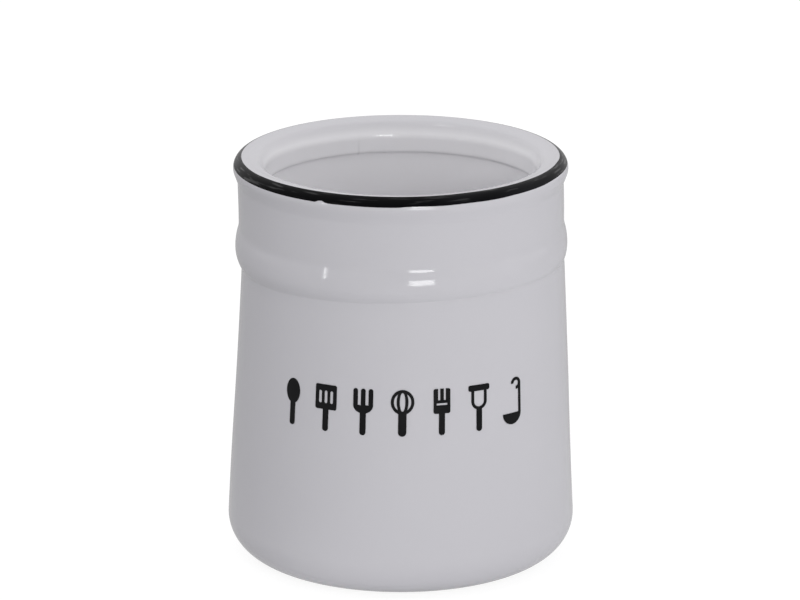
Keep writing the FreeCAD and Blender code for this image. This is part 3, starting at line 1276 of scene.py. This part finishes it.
@dataclass(frozen=True)
class ToolPrints:
    """The printed row of tool shapes, each drawn flat about its own middle in millimetres."""

    film: FilmTree
    finish: BlackEnamel
    height: float = 18.4
    pitch: float = 15.2
    head_width: float = 9.0
    head_length: float = 9.8
    corner_round: float = 0.8
    handle_width: float = 2.4
    grip_width: float = 3.2
    line: float = 1.2
    bristle_gap: float = 0.8
    arc_step: float = 9.0

    @property
    def top(self) -> float:
        """Height of a figure's top."""
        return self.height / 2

    @property
    def head_low(self) -> float:
        """Height of the lowest point of a head."""
        return self.top - self.head_length

    @property
    def head_middle(self) -> float:
        """Height of the middle of a head."""
        return self.top - self.head_length / 2

    def arc(self, centre: tuple[float, float], radii: tuple[float, float], start: float, end: float) -> Loop:
        """Points along an arc of an oval.

        Args:
            centre: The oval's middle.
            radii: Its half width and half height.
            start: The first angle, in degrees.
            end: The last angle, which may be the smaller one.

        Returns:
            The points, both ends among them.
        """
        steps = max(2, math.ceil(abs(end - start) / self.arc_step))
        angles = [math.radians(start + (end - start) * i / steps) for i in range(steps + 1)]
        (u, v), (wide, tall) = centre, radii
        return [Vector((u + wide * math.cos(a), v + tall * math.sin(a))) for a in angles]

    def plate(self, half: float, low: float, high: float, top: Loop | None = None) -> Loop:
        """A plate's right side, top and left side, with rounded corners.

        Args:
            half: Half its width.
            low: Its lowest height.
            high: Its highest height.
            top: Points along its top edge, from right to left.

        Returns:
            The points from the lower right corner round to the lower left one.
        """
        r = self.corner_round
        side, foot, head = half - r, low + r, high - r
        corners = [(side, foot, -90), (side, head, 0), (-side, head, 90), (-side, foot, 180)]
        arcs = [self.arc((u, v), (r, r), start, start + 90) for u, v, start in corners]
        return arcs[0] + arcs[1] + (top or []) + arcs[2] + arcs[3]

    def stadium(self, u: float, low: float, high: float, width: float) -> Loop:
        """An upright slot with half-round ends."""
        r = width / 2
        return self.arc((u, low + r), (r, r), 180, 360) + self.arc((u, high - r), (r, r), 0, 180)

    def oval(self, half_width: float, half_height: float) -> Loop:
        """A whole oval about the middle of a head."""
        return self.arc((0.0, self.head_middle), (half_width, half_height), 0, 360)[:-1]

    def handle_end(self, width: float) -> Loop:
        """The half-round lower end of a handle, from left to right."""
        r = width / 2
        return self.arc((0.0, r - self.top), (r, r), 180, 360)

    def spoon(self) -> list[Loop]:
        """An oval bowl on a handle.

        Returns:
            Its outline.
        """
        half_width, half_height = self.head_width / 2 - self.line, self.head_length / 2
        meet = math.degrees(math.acos(self.handle_width / 2 / half_width))
        bowl = self.arc((0.0, self.head_middle), (half_width, half_height), -meet, 180 + meet)
        return [self.handle_end(self.handle_width) + bowl]

    def turner(self) -> list[Loop]:
        """A blade with three slots.

        Returns:
            Its outline and the slots.
        """
        margin = 2 * self.line
        low, high = self.head_low + margin, self.top - margin
        slots = [self.stadium(u, low, high, self.line) for u in (-margin, 0.0, margin)]
        half = self.handle_width / 2
        neck_right, neck_left = Vector((half, self.head_low)), Vector((-half, self.head_low))
        blade = self.plate(self.head_width / 2, self.head_low, self.top)
        return [self.handle_end(self.handle_width) + [neck_right] + blade + [neck_left], *slots]

    def fork(self) -> list[Loop]:
        """Three tines on a rounded root.

        Returns:
            Its outline.
        """
        half = (self.head_width - self.line) / 2
        tine = (2 * half - 2 * self.line) / 6
        depth = self.head_length / 3
        root, tip = self.head_low + depth, self.top - tine
        meet = math.degrees(math.acos(self.handle_width / 2 / half))
        outline = self.handle_end(self.handle_width) + self.arc((0.0, root), (half, depth), -meet, 0)
        for u in (2 * tine + self.line, 0.0, -2 * tine - self.line):
            tip_round = self.arc((u, tip), (tine, tine), 0, 180)
            outline += [Vector((u + tine, root)), *tip_round, Vector((u - tine, root))]
        return [outline + self.arc((0.0, root), (half, depth), 180, 180 + meet)]

    def whisk(self) -> list[Loop]:
        """Two nested wire loops on a thick grip.

        Returns:
            Its outline and the three gaps between the wires.
        """
        wide, tall = self.head_width / 2, self.head_length / 2
        slim, thin, short = wide / 2, wide - self.line, tall - self.line
        grip = self.grip_width / 2
        meet = math.degrees(math.acos(grip / wide))
        middle = (0.0, self.head_middle)
        outline = self.handle_end(self.grip_width) + self.arc(middle, (wide, tall), -meet, 180 + meet)
        rise = ((thin / slim) ** 2 - 1) / ((thin / slim) ** 2 / short**2 - 1 / tall**2)
        outer, inner = (math.degrees(math.asin(math.sqrt(rise) / h)) for h in (short, tall))
        right = self.arc(middle, (thin, short), -outer, outer)
        right += self.arc(middle, (slim, tall), inner, -inner)[1:-1]
        left = [Vector((-p.x, p.y)) for p in right]
        return [outline, self.oval(slim - self.line, short), right, left]

    def brush(self) -> list[Loop]:
        """Parted bristles, bound by a ferrule.

        Returns:
            Its outline and the gap above the ferrule.
        """
        half = self.head_width / 2 - self.line
        ferrule = self.head_low + self.head_length / 3
        root, gap = ferrule + self.bristle_gap + self.line, self.bristle_gap / 2
        top: Loop = []
        for u in (half / 3, -half / 3):
            for du, v in ((gap, self.top), (gap, root), (-gap, root), (-gap, self.top)):
                top.append(Vector((u + du, v)))
        neck = self.handle_width / 2
        head = self.plate(half, self.head_low, self.top, top)
        outline = self.handle_end(self.handle_width) + [Vector((neck, self.head_low))] + head
        sides, levels = (self.line - half, half - self.line), (ferrule, ferrule + self.bristle_gap)
        binding = [Vector((sides[i], levels[j])) for i, j in ((0, 0), (1, 0), (1, 1), (0, 1))]
        return [outline + [Vector((-neck, self.head_low))], binding]

    def masher(self) -> list[Loop]:
        """A flat plate on a bent wire.

        Returns:
            Its outline and the gap inside the wire.
        """
        outer = self.head_width / 2 - self.line
        inner = outer - self.line
        bend = self.head_low + outer
        plate_low = self.top - 2 * self.line
        meet = math.degrees(math.acos(self.handle_width / 2 / outer))
        outline = self.handle_end(self.handle_width) + self.arc((0.0, bend), (outer, outer), -meet, 0)
        outline += [Vector((outer, plate_low))] + self.plate(self.head_width / 2, plate_low, self.top)
        outline += [Vector((-outer, plate_low))] + self.arc((0.0, bend), (outer, outer), 180, 180 + meet)
        eye = self.arc((0.0, bend), (inner, inner), 180, 360)
        return [outline, eye + [Vector((inner, plate_low)), Vector((-inner, plate_low))]]

    def ladle(self) -> list[Loop]:
        """A half-round bowl, hung from a thin stem that ends in a hook.

        Returns:
            Its outline.
        """
        bowl = self.head_width / 2
        brim = bowl - self.top
        hook = self.handle_width
        centre = (bowl - hook, self.top - hook)
        stem = bowl - self.line
        meet = math.degrees(math.acos((stem - centre[0]) / hook))
        outline = self.arc((0.0, brim), (bowl, bowl), 180, 360) + self.arc(centre, (hook, hook), 0, 180)
        outline += self.arc(centre, (hook - self.line, hook - self.line), 180, -90)
        outline += self.arc(centre, (hook, hook), -90, -meet) + [Vector((stem, brim))]
        return [outline]

    def loops(self, tool: Tool) -> list[Loop]:
        """The outline and the holes of a tool, in metres.

        Args:
            tool: The tool.

        Returns:
            Closed lines, none of which cross.
        """
        draw = {
            Tool.SPOON: self.spoon,
            Tool.TURNER: self.turner,
            Tool.FORK: self.fork,
            Tool.WHISK: self.whisk,
            Tool.BRUSH: self.brush,
            Tool.MASHER: self.masher,
            Tool.LADLE: self.ladle,
        }[tool]
        return [[point * MM for point in loop] for loop in draw()]

    def build(self, tree: Tree) -> dict[Tool, Piece]:
        """Prints every tool on the wall.

        Args:
            tree: The node tree that wraps a figure on the wall.

        Returns:
            The piece of each tool.
        """
        material = self.finish.material()
        row_radius = self.film.sizes.glazed_radius(self.film.row_z)
        pieces = {}
        for number, tool in enumerate(Tool):
            name = tool.value.replace("decal", "print")
            place = (number - (len(Tool) - 1) / 2) * self.pitch / row_radius
            start = wire_mesh(name, self.loops(tool), closed=True)
            pieces[tool] = grown(name, start, tree, {**self.film.values(place), "Material": material})
        return pieces


@dataclass(frozen=True)
class Softbox:
    """A soft lamp, aimed at a point of the crock from an azimuth off the front and a height angle."""

    name: str
    azimuth: float
    elevation: float
    distance: float
    width: float
    height: float
    radiance: float
    aim_z: float = 128.0 * MM

    def build(self) -> None:
        """Puts the lamp in the scene."""
        lamp = bpy.data.lights.new(self.name, "AREA")
        lamp.shape = "RECTANGLE"
        lamp.size, lamp.size_y = self.width, self.height
        lamp.energy = self.radiance * self.width * self.height * math.pi
        obj = bpy.data.objects.new(self.name, lamp)
        turn, rise = math.radians(self.azimuth), math.radians(self.elevation)
        away = Vector((math.sin(turn) * math.cos(rise), -math.cos(turn) * math.cos(rise), math.sin(rise)))
        obj.location = Vector((0.0, 0.0, self.aim_z)) + away * self.distance
        obj.rotation_euler = (-away).to_track_quat("-Z", "Y").to_euler()
        obj.visible_camera = False
        bpy.context.scene.collection.objects.link(obj)


@dataclass(frozen=True)
class Glow:
    """Soft light from one side of the room, strongest from straight that way."""

    towards: tuple[float, float, float]
    gain: float

    def strength(self, wiring: Wiring, direction: Feed) -> Socket:
        """How strong the light is from a direction.

        Args:
            wiring: The tree that the nodes go into.
            direction: The direction that the light comes from.

        Returns:
            The strength, which is nothing from the far side.
        """
        feeds = dict(enumerate((direction, Vector(self.towards).normalized())))
        facing = wiring.add("ShaderNodeVectorMath", feeds, operation="DOT_PRODUCT").outputs["Value"]
        return wiring.times(wiring.math("MAXIMUM", facing, 0.0), self.gain)


@dataclass(frozen=True)
class Viewpoint:
    """The photograph's camera: where it stands and where a known point falls in its frame."""

    distance: float = 1.920
    elevation: float = 17.36
    focal_pixels: float = 4882.4
    aim_z: float = 80.0 * MM
    aim_pixel: tuple[float, float] = (400.7, 351.02)
    frame: tuple[int, int] = (800, 600)
    sensor: float = 36.0

    def build(self) -> None:
        """Puts the camera in the scene."""
        rise = math.radians(self.elevation)
        look = Vector((0.0, math.cos(rise), -math.sin(rise)))
        up = Vector((0.0, math.sin(rise), math.cos(rise)))
        off_x, off_y = self.frame[0] / 2 - self.aim_pixel[0], self.aim_pixel[1] - self.frame[1] / 2
        forward = look * self.focal_pixels + Vector((off_x, 0.0, 0.0)) + up * off_y
        camera = bpy.data.cameras.new("viewpoint")
        camera.sensor_width = self.sensor
        camera.lens = self.focal_pixels / self.frame[0] * self.sensor
        obj = bpy.data.objects.new("viewpoint", camera)
        obj.location = Vector((0.0, 0.0, self.aim_z)) - look * self.distance
        obj.rotation_euler = forward.to_track_quat("-Z", "Y").to_euler()
        bpy.context.scene.collection.objects.link(obj)
        bpy.context.scene.camera = obj


@dataclass(frozen=True)
class Studio:
    """A pale floor under soft light, shown white to the camera."""

    lamps: tuple[Softbox, ...]
    glows: tuple[Glow, ...]
    viewpoint: Viewpoint
    floor_half: float = 4.0
    floor_drop: float = 0.2 * MM
    floor_colour: Colour = (0.95, 0.95, 0.96, 1.0)
    # The floor's left is painted darker for the light it throws back, as a painted shadow of the crock
    floor_painted_shadow: Colour = (0.42, 0.42, 0.43, 1.0)
    painted_shadow_edge: tuple[float, float] = (-0.10, -0.03)
    shown_white: float = 0.90
    backdrop: Colour = (1.0, 1.0, 1.0, 1.0)
    shadow_colour: Colour = (0.16, 0.16, 0.16, 1.0)
    soft_light: float = 0.10
    soft_tint: Colour = (1.0, 0.995, 1.01, 1.0)
    gloss_share: float = 0.2
    # To reflections the floor is a glow, dimmer further back: a painted reflection
    floor_reflection_glow: tuple[float, float] = (0.62, 0.48)
    reflection_glow_falloff: tuple[float, float] = (-0.15, 0.25)

    def shown(self, wiring: Wiring) -> Socket:
        """Where a ray shows the white background: to the camera, through glass and partly in gloss.

        Args:
            wiring: The tree that the nodes go into.

        Returns:
            A share from 0 to 1.
        """
        path = wiring.add("ShaderNodeLightPath").outputs
        gloss = wiring.times(path["Is Glossy Ray"], self.gloss_share)
        seen = wiring.math("MAXIMUM", path["Is Camera Ray"], path["Is Transmission Ray"])
        return wiring.math("MAXIMUM", seen, gloss)

    def build_floor(self) -> None:
        """Lays the floor, which keeps a faint shadow on its white and has a painted shadow on its left, a
        darker colour there that throws less light back.
        """
        half = self.floor_half
        corners = [(-half, -half), (half, -half), (half, half), (-half, half)]
        mesh = bpy.data.meshes.new("floor")
        mesh.from_pydata([(x, y, -self.floor_drop) for x, y in corners], [], [(0, 1, 2, 3)])
        material = bpy.data.materials.new("floor")
        material.use_nodes = True
        wiring = Wiring(material.node_tree)
        material.node_tree.nodes.remove(material.node_tree.nodes["Principled BSDF"])
        across, back, _ = wiring.split(wiring.add("ShaderNodeTexCoord").outputs["Object"])
        # Painted shadow: darker floor colour on the left
        painted_shadow_share = wiring.ranged(across, *self.painted_shadow_edge, 0.0, 1.0)
        colour = wiring.blend(painted_shadow_share, self.floor_painted_shadow, self.floor_colour)
        plain = wiring.out("ShaderNodeBsdfDiffuse", {"Color": colour})
        shade = wiring.out("ShaderNodeBsdfDiffuse", {"Color": self.shadow_colour})
        white = wiring.out("ShaderNodeEmission", {"Strength": self.shown_white})
        lit = wiring.out("ShaderNodeAddShader", dict(enumerate((white, shade))))
        mixed = wiring.between(self.shown(wiring), plain, lit)
        # Painted reflection: reflections of the floor show a glow that dims towards the back
        level = wiring.ranged(back, *self.reflection_glow_falloff, *self.floor_reflection_glow)
        gloss = wiring.out("ShaderNodeEmission", {"Strength": level})
        glossy = wiring.add("ShaderNodeLightPath").outputs["Is Glossy Ray"]
        whole = wiring.between(glossy, mixed, gloss)
        wiring.feed(material.node_tree.nodes["Material Output"], {"Surface": whole})
        mesh.materials.append(material)
        floor = bpy.data.objects.new("floor", mesh)
        bpy.context.scene.collection.objects.link(floor)

    def build_world(self) -> None:
        """Fills the room with soft light that is stronger from some sides."""
        world = bpy.data.worlds.new("soft_room")
        world.use_nodes = True
        wiring = Wiring(world.node_tree)
        world.node_tree.nodes.remove(world.node_tree.nodes["Background"])
        direction = wiring.add("ShaderNodeTexCoord").outputs["Generated"]
        strength: Feed = self.soft_light
        for glow in self.glows:
            strength = wiring.plus(strength, glow.strength(wiring, direction))
        room = wiring.out("ShaderNodeBackground", {"Color": self.soft_tint, "Strength": strength})
        white = wiring.out("ShaderNodeBackground", {"Color": self.backdrop, "Strength": 1.0})
        mixed = wiring.between(self.shown(wiring), room, white)
        wiring.feed(world.node_tree.nodes["World Output"], {"Surface": mixed})
        bpy.context.scene.world = world

    def build(self) -> None:
        """Lays the floor, lights the room and sets the camera."""
        self.build_floor()
        self.build_world()
        for lamp in self.lamps:
            lamp.build()
        self.viewpoint.build()
        bpy.context.scene.view_settings.view_transform = "Standard"


THIN_WHITE = (0.552, 0.546, 0.572, 1.0)
THICK_WHITE = (0.570, 0.564, 0.590, 1.0)
SPRAYED_GLAZE = WhiteGlaze("white_glaze", THIN_WHITE, THICK_WHITE)
POURED_GLAZE = PouredGlaze("white_glaze_poured", THIN_WHITE, THICK_WHITE)

# Where the brush went, as degrees round the crock from the front and degrees slid up the rim's round
LOW_LINE = BrushLine(
    level=18.0,
    reach=(-20.0, 49.0),
    swing=12.0,
    slides=(
        (-180, -1.0), (-150, 1.5), (-115, -0.5), (-90, -2.5), (-60, -2.5), (-29.4, -2.5), (-27.8, 12.0),
        (-26.2, -2.5), (-8, -2.6), (-1, -2.0), (4, 2.0), (14, 0.8), (24, 2.4), (32, 1.6), (42, 4.0),
        (55, 4.6), (70, 8.0), (84, 7.0), (105, 2.0), (140, -2.0), (180, -1.0),
    ),
)
TOP_LINE = BrushLine(
    level=80.0,
    reach=(49.0, 102.0),
    swing=12.0,
    slides=(
        (-180, -2.0), (-150, 1.0), (-120, -3.0), (-90, -7.0), (-70, -7.0), (-55, -5.0), (-34, -2.0),
        (-18, -0.5), (0, 2.0), (18, 5.5), (26, 8.0), (36, 6.2), (50, 6.0), (61, 3.5), (79, 0.0),
        (92, -5.0), (120, -1.0), (150, 2.0), (180, -2.0),
    ),
)

# How far from the axis an uneven zone reaches: past the whole crock, or past the lip and inner wall alone
EVERYWHERE = 100.0
INSIDE = 59.0

# What sits off its true place in this casting, by height in millimetres
WALL_HEIGHTS = ((0, 0), (12, 0), (113, 1), (125.2, 0.27), (136, 0.3), (152, 0), (160, 0))
WALL_LEAN = Drift(
    Zone(WALL_HEIGHTS, EVERYWHERE, Handle.SMOOTH),
    move=(0.87, -0.35, 0.0),
)
CREASE_TILT = Drift(
    Zone(((0, 0), (88, 0), (110, 1), (115.4, 1), (125.2, 0), (160, 0)), EVERYWHERE, Handle.STRAIGHT),
    move=(0.0, 0.0, 1.25),
    rise=(0.0315, -0.0254),
)
BEAD_TILT = Drift(
    Zone(((0, 0), (115.4, 0), (125.2, 1), (136, 1), (152, 0), (160, 0)), EVERYWHERE, Handle.STRAIGHT),
    move=(0.0, 0.0, -0.55),
    rise=(0.0108, 0.0205),
)
LIP_HEIGHTS = ((0, 0), (120, 0), (146, 0.57), (150, 0.57), (153.6, 1), (156.2, 1), (159.5, 0), (160, 0))
THROAT_TILT = Drift(
    Zone(LIP_HEIGHTS, INSIDE, Handle.SMOOTH),
    move=(0.0, 0.0, -1.0),
    rise=(0.0, -0.0188),
)
NECK_HEIGHTS = ((0, 0), (108, 0), (122, 0.3), (145, 1), (150, 1), (153, 0), (160, 0))
THICK_NECK = Narrowing(
    Zone(NECK_HEIGHTS, INSIDE, Handle.SMOOTH),
    radius=53.0,
    closer=0.72,
)
SETTLING = Drift(Zone(((0, 0), (140, 0), (160, 1)), EVERYWHERE, Handle.STRAIGHT), move=(0.0, 0.0, -0.01))
UNEVEN = (WALL_LEAN, CREASE_TILT, BEAD_TILT, THROAT_TILT, THICK_NECK, SETTLING)

# Azimuth and height angle in degrees, then distance, width and height in metres, and radiance
LAMPS = (
    Softbox("front_pane", 13.2, 1.2, 1.60, 0.46, 0.26, 8.6),
    Softbox("front_high", 14.0, 20.0, 1.60, 0.36, 0.28, 10.7),
    Softbox("left_strip", -52.4, 7.0, 1.40, 0.03, 0.34, 15.0),
    Softbox("right_spot", 77.0, 1.0, 1.40, 0.10, 0.10, 1.6),
    Softbox("top_left", -46.0, 54.0, 1.40, 0.30, 0.06, 9.5),
)
GLOWS = (
    Glow((1.0, 0.0, 0.0), 0.72),
    Glow((-0.6, 0.0, 0.72), 0.70),
    Glow((0.0, 0.7, 0.7), 0.52),
)


def main() -> None:
    """Builds the clay, its coats and prints in order, then the studio."""
    logging.basicConfig(level=logging.INFO, format="%(name)s: %(message)s")
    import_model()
    sizes = CrockSizes()
    hand = HandWork(sizes.height, UNEVEN)
    section = Section(sizes)
    turner = TurnedTree(sizes, hand, LOW_LINE, TOP_LINE)
    turning = turner.make()
    shared = {"section": section, "turner": turner}
    clay = ClayBody(finish=BareClay(), **shared)
    settle(clay.build(turning), clay.name)
    sprayed, poured = SPRAYED_GLAZE.material(), POURED_GLAZE.material()
    for coat in Coat:
        white = poured if coat is Coat.INNER else sprayed
        settle(GlazeCoat(coat=coat, **shared).build(turning, white), coat.value)
    band = RimBand(finish=BlackGlaze(tuple(sizes.rim_centre * MM)), **shared)
    settle(band.build(turning), "rim_band")
    film = FilmTree(sizes, hand)
    for tool, piece in ToolPrints(film, BlackEnamel()).build(film.make()).items():
        settle(piece, tool.value)
    Studio(LAMPS, GLOWS, Viewpoint()).build()


if __name__ == "__main__":
    main()
